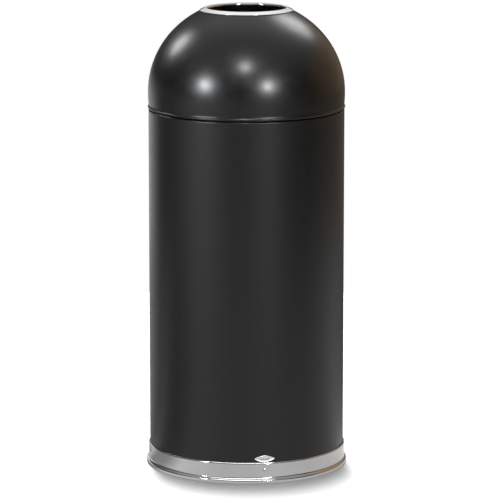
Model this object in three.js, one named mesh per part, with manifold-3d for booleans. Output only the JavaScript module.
// A dome-top litter bin: a steel body with a bright trim band at its foot, a lift-off dome with a ringed
// opening, and a galvanised liner with two drop handles. Millimetres, +Z up, origin on the floor under the axis.
import * as THREE from "three";
import { mergeVertices } from "three/addons/utils/BufferGeometryUtils.js";
import Module from "manifold-3d";

// Driving dimensions
const HEIGHT = 876.3; // floor to the crown of the opening ring
const BODY_RADIUS = 185.5; // outside of the body's sheet
const BODY_TOP = 684.5; // top of the body's rolled rim
const OPENING_RADIUS = 73; // clear radius of the litter opening
const SHEET = 1; // painted steel sheet
const LINER_SHEET = 0.8; // galvanised steel sheet
const GAP = 0.4; // left between pieces that touch
const SEGMENTS = 48; // facets round every coaxial piece

// Body
const BODY_FOOT = 4.6;
const RIM_ROLL = 3;
const PAN_LEVEL = 12; // top of the ledge that the liner stands on
const PAN_DISH = 6; // rise of the pan's centre panel
const BAND_TOP = 40;
const BAND_RADIUS = 187.6;
const BAND_SHEET = 1.2;
const BEAD_RADIUS = 4.4; // roll along the band's lower edge
const BEAD_CENTRE = [187.8, 5];

// Fasteners and badge
const RIVET_LEVEL = 26.5;
const RIVET_SHANK = 1.9;
const BADGE_AZIMUTH = 11.3; // degrees from the front, towards +X
const BADGE_LEVEL = 47.4;
const BADGE_WIDTH = 40;
const BADGE_HEIGHT = 12.4;
const PIN_SHANK = 0.8;
const HOLE_CLEARANCE = 0.4;

// Dome
const DOME_RADIUS = 186.2; // widest, at the level below
const DOME_EQUATOR = 717.1;
const DOME_RISE = 173.2; // vertical half-axis of the dome's ellipse
const DOME_BEAD = [184.3, 688.4]; // centre of the small roll along the dome's lower edge
const DOME_BEAD_RADIUS = 2;
const COLLAR_RADIUS = 178.7; // outside of the skirt that drops into the body
const COLLAR_BOTTOM = 655;
const CROWN_RADIUS = 4.5; // roll round the opening ring's inner edge
const RING_SHEET = 1.2;
const RING_OUTER_RADIUS = 88;
const SLEEVE_BOTTOM = 848;
const RETAINER_GRIP = 12; // length that holds the ring's sleeve
const RETAINER_FLANGE = 14.4; // width of the flange under the dome

// Liner
const LINER_RADIUS = 170;
const LINER_FOOT = 12.4;
const LINER_CURL = 3.2; // radius of the curl that is rolled round the rim wire
const LINER_CURL_LEVEL = 637.5;
const RIM_WIRE_RADIUS = 2;
const LINER_FLOOR = 22;

// Drop handles, one on each side of the liner
const HANDLE_WIRE = 2.5; // radius of the wire
const HANDLE_REACH = 150; // distance of the pivot from the bin's axis
const HANDLE_LEVEL = 612; // height of the pivot
const HANDLE_HALF_WIDTH = 50;
const HANDLE_DROP = 62;
const HANDLE_CORNER = 12;
const EAR_OFFSET = 44; // distance of each ear from the middle of its bracket
const EAR_THICKNESS = 2;
const BRACKET_HEIGHT = 22;
const BRACKET_SHEET = 1.6;
const BRACKET_HALF_ANGLE = 17.5;
const BRACKET_RIVET_ANGLE = 7;

const wasm = await Module();
wasm.setup();

const radians = THREE.MathUtils.degToRad;

const finishes = {
  blackPaint: { color: 0x2b2b2b, roughness: 0.35, metalness: 0.1 },
  brightTrim: { color: 0xc9c9c7, roughness: 0.18, metalness: 1 },
  plainSteel: { color: 0x9a9c9e, roughness: 0.4, metalness: 1 },
  galvanised: { color: 0xa9adb0, roughness: 0.5, metalness: 0.9 },
  blackVinyl: { color: 0x1a1a1a, roughness: 0.7, metalness: 0 },
};
const materials = Object.fromEntries(
  Object.entries(finishes).map(([name, look]) => [
    name,
    new THREE.MeshStandardMaterial({ name, ...look }),
  ]),
);

// Points along an arc, from one angle to another in degrees.
function arc([x, y], radius, from, to, steps) {
  return Array.from({ length: steps + 1 }, (_, i) => {
    const angle = radians(from + ((to - from) * i) / steps);
    return [x + radius * Math.cos(angle), y + radius * Math.sin(angle)];
  });
}

// Height of an ellipse of revolution at a distance from the axis.
function ellipseHeight(r, halfWidth, rise) {
  return DOME_EQUATOR + rise * Math.sqrt(1 - (r / halfWidth) ** 2);
}

// Distance from the axis to the middle of a facet, where a turned piece is nearest to it.
function facetMiddle(radius) {
  return radius * Math.cos(Math.PI / SEGMENTS);
}

// Turns a closed outline of [radius, height] points about +Z. An outline that starts and ends on the axis
// makes a disc or a rivet, and any other one a ring.
function turned(outline, segments = SEGMENTS) {
  const area = outline.reduce((sum, [x, y], i) => {
    const [nextX, nextY] = outline[(i + 1) % outline.length];
    return sum + x * nextY - nextX * y;
  }, 0);
  const ordered = area > 0 ? outline : [...outline].reverse();
  const onAxis = outline[0][0] === 0 && outline.at(-1)[0] === 0;
  const points = (onAxis ? ordered : [...ordered, ordered[0]]).map(
    ([x, y]) => new THREE.Vector2(x, y),
  );
  return new THREE.LatheGeometry(points, segments).rotateX(Math.PI / 2);
}

function toSolid(geometry) {
  const bare = geometry.clone();
  bare.deleteAttribute("normal");
  bare.deleteAttribute("uv");
  const merged = mergeVertices(bare, 1e-3);
  return new wasm.Manifold(
    new wasm.Mesh({
      numProp: 3,
      vertProperties: merged.attributes.position.array,
      triVerts: new Uint32Array(merged.index.array),
    }),
  );
}

function toGeometry(solid) {
  const mesh = solid.getMesh();
  return new THREE.BufferGeometry()
    .setAttribute(
      "position",
      new THREE.BufferAttribute(new Float32Array(mesh.vertProperties), 3),
    )
    .setIndex(new THREE.BufferAttribute(new Uint32Array(mesh.triVerts), 1));
}

// Cuts a list of tool geometries out of a geometry.
function drilled(geometry, tools) {
  const cut = tools.reduce(
    (solid, tool) => solid.subtract(toSolid(tool)),
    toSolid(geometry),
  );
  return toGeometry(cut);
}

// Turns a geometry made about +Z so that its +Z points away from the bin's axis, at an azimuth from the
// front (-Y) towards +X, and moves its origin to a distance from the axis and a height.
function placedRadially(geometry, azimuth, distance, level) {
  return geometry
    .rotateX(Math.PI / 2)
    .translate(0, -distance, level)
    .rotateZ(radians(azimuth));
}

function radialDrill(radius, azimuth, distance, level) {
  const drill = new THREE.CylinderGeometry(radius, radius, 12, 12);
  return placedRadially(drill.rotateX(Math.PI / 2), azimuth, distance, level);
}

// A pop rivet about +Z: a low round head above its seat at 0, and a shank that ends in a wider tail.
function rivet(headRadius, headHeight, shank, grip, tailRadius) {
  const dish = arc([0, 0], 1, 0, 60, 2).map(([x, y]) => [
    x * headRadius,
    y * headHeight,
  ]);
  return turned(
    [
      [0, -grip - 2],
      [tailRadius, -grip - 2],
      [tailRadius, -grip],
      [shank, -grip],
      [shank, 0],
      ...dish,
      [0, headHeight],
    ],
    10,
  );
}

const bandRivetAzimuths = {
  front: BADGE_AZIMUTH,
  right: BADGE_AZIMUTH + 90,
  back: BADGE_AZIMUTH + 180,
  left: BADGE_AZIMUTH + 270,
};

function bandRivetDrills() {
  return Object.values(bandRivetAzimuths).map((azimuth) =>
    radialDrill(RIVET_SHANK + HOLE_CLEARANCE, azimuth, BODY_RADIUS, RIVET_LEVEL),
  );
}

// The badge's pins stand near its two pointed ends.
const pinAzimuths = Object.fromEntries(
  [
    ["left", -1],
    ["right", 1],
  ].map(([side, sign]) => [
    side,
    BADGE_AZIMUTH +
      (sign * THREE.MathUtils.radToDeg(0.37 * BADGE_WIDTH)) / BODY_RADIUS,
  ]),
);

function pinDrills() {
  return Object.values(pinAzimuths).map((azimuth) =>
    radialDrill(PIN_SHANK + HOLE_CLEARANCE, azimuth, BODY_RADIUS, BADGE_LEVEL),
  );
}

// Rolled sheet cylinder, with its top edge rolled inwards into a rim.
function bodyShell() {
  const rim = [BODY_RADIUS - RIM_ROLL, BODY_TOP - RIM_ROLL];
  const shell = turned([
    [BODY_RADIUS, BODY_FOOT],
    ...arc(rim, RIM_ROLL, 0, 200, 5),
    ...arc(rim, RIM_ROLL - SHEET, 200, 0, 4),
    [BODY_RADIUS - SHEET, BODY_FOOT],
  ]);
  return drilled(shell, [...bandRivetDrills(), ...pinDrills()]);
}

// Pressed floor of the body: a turned-down flange, a flat ledge for the liner, and a raised centre panel.
function basePan() {
  const flange = BODY_RADIUS - SHEET - GAP;
  const corner = 2;
  const ledgeEnd = 156;
  const panelEnd = 148;
  return turned([
    [0, PAN_LEVEL + PAN_DISH],
    [panelEnd, PAN_LEVEL + PAN_DISH],
    [ledgeEnd, PAN_LEVEL],
    ...arc([flange - corner, PAN_LEVEL - corner], corner, 90, 0, 3),
    [flange, BODY_FOOT],
    [flange - SHEET, BODY_FOOT],
    [flange - SHEET, PAN_LEVEL - corner],
    [flange - corner, PAN_LEVEL - SHEET],
    [ledgeEnd - SHEET / 2, PAN_LEVEL - SHEET],
    [panelEnd - SHEET / 2, PAN_LEVEL + PAN_DISH - SHEET],
    [0, PAN_LEVEL + PAN_DISH - SHEET],
  ]);
}

// Bright trim round the foot: a hemmed top edge, a plain wall, and a rolled bead along the bottom.
function baseBand() {
  const inner = BAND_RADIUS - BAND_SHEET;
  const hem = 0.85; // radius of the hem's fold
  const hemDepth = 4;
  const band = turned([
    [inner, BAND_TOP - hemDepth],
    [BAND_RADIUS - 2 * hem, BAND_TOP - hemDepth + 1],
    ...arc([BAND_RADIUS - hem, BAND_TOP - hem], hem, 180, 0, 3),
    [BAND_RADIUS, BEAD_CENTRE[1] + BEAD_RADIUS + 0.8],
    ...arc(BEAD_CENTRE, BEAD_RADIUS, 88, -108, 8),
  ]);
  return drilled(band, bandRivetDrills());
}

// Vinyl ring under the body's lower edge, which keeps the steel off the floor.
function floorRing() {
  return turned([
    [180.8, 0],
    [186, 0],
    [186, BODY_FOOT - GAP],
    [182.6, BODY_FOOT - GAP],
    [182.6, 10],
    [180.8, 10],
  ]);
}

// Small curved plate with two pointed ends, bent to the body.
function badgePlate() {
  const skin = turned(
    [
      [BODY_RADIUS + GAP, BADGE_LEVEL - BADGE_HEIGHT],
      [BODY_RADIUS + GAP + 0.9, BADGE_LEVEL - BADGE_HEIGHT],
      [BODY_RADIUS + GAP + 0.9, BADGE_LEVEL + BADGE_HEIGHT],
      [BODY_RADIUS + GAP, BADGE_LEVEL + BADGE_HEIGHT],
    ],
    4 * SEGMENTS,
  );
  // Two equal arcs that meet at the ends.
  const halfWidth = BADGE_WIDTH / 2;
  const halfHeight = BADGE_HEIGHT / 2;
  const radius = (halfWidth ** 2 + halfHeight ** 2) / (2 * halfHeight);
  const reach = THREE.MathUtils.radToDeg(Math.asin(halfWidth / radius));
  const outline = new THREE.Shape(
    [
      ...arc([0, halfHeight - radius], radius, 90 - reach, 90 + reach, 10),
      ...arc([0, radius - halfHeight], radius, 270 - reach, 270 + reach, 10).slice(1, -1),
    ].map(([x, y]) => new THREE.Vector2(x, y)),
  );
  const cutter = new THREE.ExtrudeGeometry(outline, {
    depth: 20,
    bevelEnabled: false,
  });
  cutter.translate(0, 0, -10);
  const placed = placedRadially(cutter, BADGE_AZIMUTH, BODY_RADIUS, BADGE_LEVEL);
  const plate = toSolid(skin).intersect(toSolid(placed));
  return drilled(toGeometry(plate), pinDrills());
}

// Spun dome: an ellipse of revolution with a hole at the top, drawn in a little below its widest level and
// finished with a small roll along its lower edge.
function domeShell() {
  const hole = OPENING_RADIUS + CROWN_RADIUS;
  const steps = 9;
  const side = (halfWidth, rise) => {
    const holeAngle = THREE.MathUtils.radToDeg(Math.acos(hole / halfWidth));
    return arc([0, 0], 1, holeAngle, 0, steps).map(([x, y]) => [
      x * halfWidth,
      DOME_EQUATOR + y * rise,
    ]);
  };
  const waist = DOME_RADIUS - 0.9;
  return turned([
    ...side(DOME_RADIUS, DOME_RISE),
    [waist, DOME_BEAD[1] + 4.6],
    ...arc(DOME_BEAD, DOME_BEAD_RADIUS, 50, -235, 7),
    [waist - SHEET, DOME_BEAD[1] + 4.6],
    ...side(DOME_RADIUS - SHEET, DOME_RISE - SHEET).reverse(),
  ]);
}

// Stepped ring welded inside the dome's lower edge. Its ledge sits on the body's rim and its skirt drops
// inside the body, so that the dome can't slide off.
function domeCollar() {
  const ledge = BODY_TOP + GAP;
  const skirt = COLLAR_RADIUS - SHEET;
  const upright = DOME_BEAD[0] - DOME_BEAD_RADIUS - GAP;
  const weldRadius = DOME_RADIUS - SHEET - 1.4;
  return turned([
    [skirt - 1.6, COLLAR_BOTTOM],
    [COLLAR_RADIUS - 1.6, COLLAR_BOTTOM],
    [COLLAR_RADIUS, COLLAR_BOTTOM + 6],
    [COLLAR_RADIUS, ledge],
    [upright, ledge],
    [upright, ledge + 7],
    [weldRadius, ledge + 12],
    [weldRadius, ledge + 28],
    [weldRadius - SHEET, ledge + 28],
    [weldRadius - SHEET, ledge + 12.4],
    [upright - SHEET, ledge + 7.4],
    [upright - SHEET, ledge + SHEET],
    [skirt, ledge + SHEET],
    [skirt, COLLAR_BOTTOM + 6],
  ]);
}

// Bright ring round the opening: a sleeve through the dome, a rounded crown, and a flange that lies on the
// dome and ends in a thin hem.
function openingRing() {
  const crown = [OPENING_RADIUS + CROWN_RADIUS, HEIGHT - CROWN_RADIUS];
  const underside = (r) => ellipseHeight(r, DOME_RADIUS, DOME_RISE) + GAP;
  const flangeRadii = [82, RING_OUTER_RADIUS - 1.6];
  return turned([
    [OPENING_RADIUS, SLEEVE_BOTTOM],
    ...arc(crown, CROWN_RADIUS, 180, 58, 6),
    ...flangeRadii.map((r) => [r, underside(r) + RING_SHEET]),
    [RING_OUTER_RADIUS - 0.4, underside(RING_OUTER_RADIUS) + RING_SHEET],
    [RING_OUTER_RADIUS, underside(RING_OUTER_RADIUS) + RING_SHEET / 2],
    [RING_OUTER_RADIUS - 0.4, underside(RING_OUTER_RADIUS)],
    ...flangeRadii.reverse().map((r) => [r, underside(r)]),
    ...arc(crown, CROWN_RADIUS - RING_SHEET, 68, 180, 4),
    [OPENING_RADIUS + RING_SHEET, SLEEVE_BOTTOM],
  ]);
}

// Push-on ring that grips the sleeve from below and holds the opening ring down on the dome.
function ringRetainer() {
  const grip = OPENING_RADIUS + RING_SHEET + GAP;
  const shoulder = grip + 3;
  const outer = grip + RETAINER_FLANGE;
  const top = (r) => ellipseHeight(r, DOME_RADIUS - SHEET, DOME_RISE - SHEET) - 2 * GAP;
  const foot = top(shoulder) - RETAINER_GRIP;
  return turned([
    [grip, foot],
    [grip + SHEET, foot],
    [grip + SHEET, top(shoulder) - SHEET],
    [shoulder, top(shoulder) - SHEET],
    [outer, top(outer) - SHEET],
    [outer, top(outer)],
    [shoulder, top(shoulder)],
    [grip, top(shoulder)],
  ]);
}

// Straight galvanised tub wall, whose top edge is curled outwards round the rim wire.
function linerShell() {
  const curl = [LINER_RADIUS + LINER_CURL - LINER_SHEET, LINER_CURL_LEVEL];
  const wall = turned([
    [LINER_RADIUS - LINER_SHEET, LINER_FOOT],
    ...arc(curl, LINER_CURL, 180, -120, 8),
    ...arc(curl, LINER_CURL - LINER_SHEET, -120, 180, 7),
    [LINER_RADIUS, LINER_FOOT],
  ]);
  return drilled(wall, bracketRivetDrills(LINER_RADIUS));
}

function rimWire() {
  const centre = [LINER_RADIUS + LINER_CURL - LINER_SHEET, LINER_CURL_LEVEL];
  return turned(arc(centre, RIM_WIRE_RADIUS, 0, 300, 5));
}

// Recessed floor of the liner, with a turned-down flange inside the wall's foot.
function linerBottom() {
  const flange = LINER_RADIUS - LINER_SHEET - GAP;
  return turned([
    [0, LINER_FLOOR],
    [flange - 1, LINER_FLOOR],
    [flange, LINER_FLOOR - 1],
    [flange, LINER_FOOT],
    [flange - LINER_SHEET, LINER_FOOT],
    [flange - LINER_SHEET, LINER_FLOOR - 1.2],
    [flange - 1.2, LINER_FLOOR - LINER_SHEET],
    [0, LINER_FLOOR - LINER_SHEET],
  ]);
}

// Radius of the strap's face that lies against the liner's wall.
const BRACKET_BACK = facetMiddle(LINER_RADIUS - LINER_SHEET) - GAP;

// The brackets stand at azimuths -90 and 90 degrees, and each has a rivet on either side of its middle.
const sides = { left: -90, right: 90 };

function bracketRivetDrills(distance) {
  return Object.values(sides).flatMap((azimuth) =>
    [-BRACKET_RIVET_ANGLE, BRACKET_RIVET_ANGLE].map((offset) =>
      radialDrill(RIVET_SHANK + HOLE_CLEARANCE, azimuth + offset, distance, HANDLE_LEVEL),
    ),
  );
}

// Strap bent to the liner's wall, with two ears that carry the handle. Made for the right side.
function handleBracket() {
  const front = BRACKET_BACK - BRACKET_SHEET;
  const earAngle = (radius, offset) =>
    THREE.MathUtils.radToDeg(Math.asin(offset / radius));
  const outside = EAR_OFFSET + EAR_THICKNESS / 2;
  const inside = EAR_OFFSET - EAR_THICKNESS / 2;
  const tip = HANDLE_REACH - HANDLE_WIRE - 3;
  const outline = [
    ...arc([0, 0], BRACKET_BACK, -BRACKET_HALF_ANGLE, BRACKET_HALF_ANGLE, 8),
    ...arc([0, 0], front, BRACKET_HALF_ANGLE, earAngle(front, outside), 1),
    [tip, outside],
    [tip, inside],
    ...arc([0, 0], front, earAngle(front, inside), -earAngle(front, inside), 6),
    [tip, -inside],
    [tip, -outside],
    ...arc([0, 0], front, -earAngle(front, outside), -BRACKET_HALF_ANGLE, 1),
  ];
  const shape = new THREE.Shape(outline.map(([x, y]) => new THREE.Vector2(x, y)));
  const strap = new THREE.ExtrudeGeometry(shape, {
    depth: BRACKET_HEIGHT,
    bevelEnabled: false,
  }).translate(0, 0, HANDLE_LEVEL - BRACKET_HEIGHT / 2);
  const pivot = HANDLE_WIRE + HOLE_CLEARANCE;
  const pivotDrill = new THREE.CylinderGeometry(pivot, pivot, 4 * EAR_OFFSET, 16);
  pivotDrill.translate(HANDLE_REACH, 0, HANDLE_LEVEL);
  return drilled(strap, [pivotDrill, ...bracketRivetDrills(BRACKET_BACK)]);
}

// Bent wire handle that hangs from its two inturned ends. Made for the right side.
function dropHandle() {
  const end = EAR_OFFSET - EAR_THICKNESS / 2 - 2;
  const bend = 5;
  const corners = [
    [end, 0, 0],
    [HANDLE_HALF_WIDTH, 0, bend],
    [HANDLE_HALF_WIDTH, -HANDLE_DROP, HANDLE_CORNER],
    [-HANDLE_HALF_WIDTH, -HANDLE_DROP, HANDLE_CORNER],
    [-HANDLE_HALF_WIDTH, 0, bend],
    [-end, 0, 0],
  ].map(([y, z, radius]) => ({
    point: new THREE.Vector3(HANDLE_REACH, y, HANDLE_LEVEL + z),
    radius,
  }));
  const route = new THREE.CurvePath();
  let from = corners[0].point;
  for (let i = 1; i < corners.length - 1; i++) {
    const { point, radius } = corners[i];
    const towards = (other) =>
      point.clone().add(other.clone().sub(point).setLength(radius));
    const enter = towards(corners[i - 1].point);
    const leave = towards(corners[i + 1].point);
    route.add(new THREE.LineCurve3(from, enter));
    route.add(new THREE.QuadraticBezierCurve3(enter, point, leave));
    from = leave;
  }
  route.add(new THREE.LineCurve3(from, corners.at(-1).point));
  const section = new THREE.Shape(
    arc([0, 0], HANDLE_WIRE, 0, 315, 7).map(([x, y]) => new THREE.Vector2(x, y)),
  );
  return new THREE.ExtrudeGeometry(section, {
    steps: 44,
    bevelEnabled: false,
    extrudePath: route,
  });
}

const bin = new THREE.Group();

function add(parent, name, geometry, material) {
  const mesh = new THREE.Mesh(geometry, material);
  mesh.name = name;
  parent.add(mesh);
}

const body = new THREE.Group();
add(body, "body_shell", bodyShell(), materials.blackPaint);
add(body, "base_pan", basePan(), materials.blackPaint);
add(body, "base_band", baseBand(), materials.brightTrim);
add(body, "floor_ring", floorRing(), materials.blackVinyl);
add(body, "badge_plate", badgePlate(), materials.brightTrim);
for (const [side, azimuth] of Object.entries(bandRivetAzimuths)) {
  const headSeat = BAND_RADIUS + GAP / 2;
  const tailSeat = facetMiddle(BODY_RADIUS - SHEET) - GAP;
  const bandRivet = rivet(3.2, 1.2, RIVET_SHANK, headSeat - tailSeat, 2.8);
  placedRadially(bandRivet, azimuth, headSeat, RIVET_LEVEL);
  add(body, `band_rivet_${side}`, bandRivet, materials.brightTrim);
}
for (const [side, azimuth] of Object.entries(pinAzimuths)) {
  const headSeat = BODY_RADIUS + 2 * GAP + 0.9;
  const pin = turned(
    [
      [0, -5],
      [PIN_SHANK, -4.4],
      [PIN_SHANK, 0],
      [1.5, 0],
      [1.1, 0.5],
      [0, 0.7],
    ],
    8,
  );
  placedRadially(pin, azimuth, headSeat, BADGE_LEVEL);
  add(body, `badge_pin_${side}`, pin, materials.brightTrim);
}

const dome = new THREE.Group();
add(dome, "dome_shell", domeShell(), materials.blackPaint);
add(dome, "dome_collar", domeCollar(), materials.blackPaint);
add(dome, "opening_ring", openingRing(), materials.brightTrim);
add(dome, "ring_retainer", ringRetainer(), materials.plainSteel);

const liner = new THREE.Group();
add(liner, "liner_shell", linerShell(), materials.galvanised);
add(liner, "rim_wire", rimWire(), materials.plainSteel);
add(liner, "liner_bottom", linerBottom(), materials.galvanised);
for (const [side, azimuth] of Object.entries(sides)) {
  // Bracket and handle are made at +X, which is azimuth 90.
  const hand = new THREE.Group();
  hand.rotation.z = radians(azimuth - 90);
  add(hand, `handle_bracket_${side}`, handleBracket(), materials.galvanised);
  add(hand, `handle_${side}`, dropHandle(), materials.plainSteel);
  liner.add(hand);
  for (const [place, offset] of [
    ["a", -BRACKET_RIVET_ANGLE],
    ["b", BRACKET_RIVET_ANGLE],
  ]) {
    // The head is inside the liner, so the rivet points at the axis.
    const seat = BRACKET_BACK - BRACKET_SHEET - GAP;
    const bracketRivet = rivet(3.6, 1.3, RIVET_SHANK, LINER_RADIUS + GAP - seat, 2.8);
    bracketRivet.rotateX(Math.PI);
    placedRadially(bracketRivet, azimuth + offset, seat, HANDLE_LEVEL);
    add(liner, `bracket_rivet_${side}_${place}`, bracketRivet, materials.plainSteel);
  }
}

bin.add(body, dome, liner);

export default bin;
